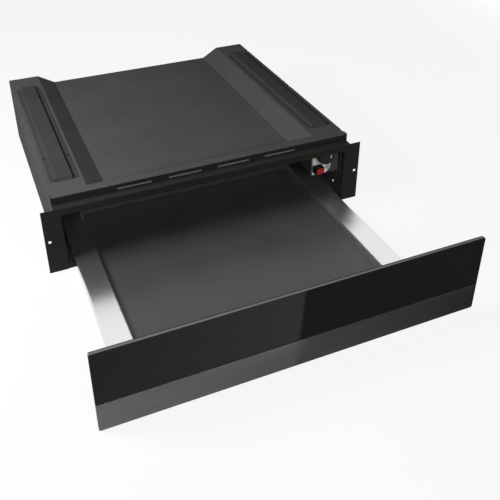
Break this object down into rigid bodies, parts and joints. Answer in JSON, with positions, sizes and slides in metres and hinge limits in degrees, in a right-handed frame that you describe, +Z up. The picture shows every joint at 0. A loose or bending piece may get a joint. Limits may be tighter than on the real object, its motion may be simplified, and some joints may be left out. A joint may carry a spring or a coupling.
{
  "type": "built-in warming drawer",
  "caption": "Low built-in warming drawer: sheet-metal casing with cabinet flanges, fan heater, thermostat and switch, and a shallow slide-out tray behind a black glass front.",
  "frame": {"origin": "middle of the casing's base, on the niche floor", "axes": "+Z up, +Y to the back, +X to the right as seen from the front; the tray is stored pulled out"},
  "size_m": [0.596, 0.8898, 0.1425],
  "materials": {
    "casing_paint": "dark grey satin paint",
    "frame_paint": "near-black satin paint",
    "galvanised_steel": "galvanised",
    "stainless_steel": "polished stainless",
    "floor_coating": "dark satin coating",
    "black_glass": "black, polished",
    "dark_brushed_steel": "dark, brushed lengthways",
    "black_plastic": "fine matt",
    "red_plastic": "translucent red",
    "white_plastic": "matt",
    "scale_print": "printed foil",
    "cream_plastic": "matt",
    "natural_plastic": "acetal",
    "brass": "turned",
    "zinc_steel": "zinc plated",
    "heater_steel": "heat tinted",
    "copper": "drawn tube"
  },
  "bodies": {
    "casing": {"base_pan": "casing_paint", "left_side_wall": "casing_paint", "right_side_wall": "casing_paint", "rear_wall": "galvanised_steel", "rear_wall_screws": "zinc_steel", "top_cover": "casing_paint", "front_frame": "frame_paint", "left_support_rail": "casing_paint", "right_support_rail": "casing_paint", "support_rail_rivets": "frame_paint", "air_baffle": "frame_paint", "fan_frame": "black_plastic", "heating_element": "heater_steel", "element_holders": "galvanised_steel", "thermal_cutout": "cream_plastic", "terminal_block": "cream_plastic", "cable_gland": "black_plastic", "latch_housing": "black_plastic", "left_slide_fixed_member": "zinc_steel", "right_slide_fixed_member": "zinc_steel", "control_plate": "casing_paint", "scale_plate": "scale_print", "thermostat_body": "brass", "thermostat_nut": "zinc_steel", "capillary_probe": "copper", "switch_housing": "black_plastic", "rocker_pin": "zinc_steel"},
    "drawer": {"left_slide_tray_member": "zinc_steel", "right_slide_tray_member": "zinc_steel", "left_tray_side": "stainless_steel", "right_tray_side": "stainless_steel", "tray_pan": "floor_coating", "tray_floor_plate": "floor_coating", "tray_back": "floor_coating", "latch_striker": "natural_plastic", "front_carrier": "galvanised_steel", "front_carrier_screws": "zinc_steel", "front_backplate": "frame_paint", "front_glass": "black_glass", "front_strip": "dark_brushed_steel"},
    "left_slide_middle": {"left_slide_middle_member": "zinc_steel", "left_slide_glide_shoes": "natural_plastic"},
    "right_slide_middle": {"right_slide_middle_member": "zinc_steel", "right_slide_glide_shoes": "natural_plastic"},
    "temperature_knob": {"thermostat_knob": "black_plastic", "knob_pointer": "white_plastic", "thermostat_shaft": "zinc_steel"},
    "power_rocker": {"switch_rocker": "red_plastic"},
    "fan_rotor": {"fan_rotor": "black_plastic"},
    "latch_plunger": {"latch_plunger": "natural_plastic"}
  },
  "joints": [
    {"name": "drawer_slide", "type": "slide", "parent": "casing", "child": "drawer", "axis": [0, -1, 0], "range_m": [-0.342, 0]},
    {"name": "left_middle_slide", "type": "slide", "parent": "casing", "child": "left_slide_middle", "axis": [0, -1, 0], "range_m": [-0.171, 0]},
    {"name": "right_middle_slide", "type": "slide", "parent": "casing", "child": "right_slide_middle", "axis": [0, -1, 0], "range_m": [-0.171, 0]},
    {"name": "temperature_turn", "type": "hinge", "parent": "casing", "child": "temperature_knob", "pos_m": [0.2314, -0.253, 0.1023], "axis": [0, 1, 0], "range_deg": [0, 270]},
    {"name": "power_rock", "type": "hinge", "parent": "casing", "child": "power_rocker", "pos_m": [0.2181, -0.2554, 0.0736], "axis": [0, 0, 1], "range_deg": [-14, 0]},
    {"name": "fan_spin", "type": "hinge", "parent": "casing", "child": "fan_rotor", "pos_m": [-0.12, 0.2365, 0.058], "axis": [0, 1, 0], "continuous": true},
    {"name": "latch_push", "type": "slide", "parent": "casing", "child": "latch_plunger", "axis": [0, 1, 0], "range_m": [0, 0.005], "stiffness_N_per_m": 400}
  ],
  "couplings": [
    {"joint": "left_middle_slide", "follows": "drawer_slide", "ratio": 0.5},
    {"joint": "right_middle_slide", "follows": "drawer_slide", "ratio": 0.5}
  ]
}
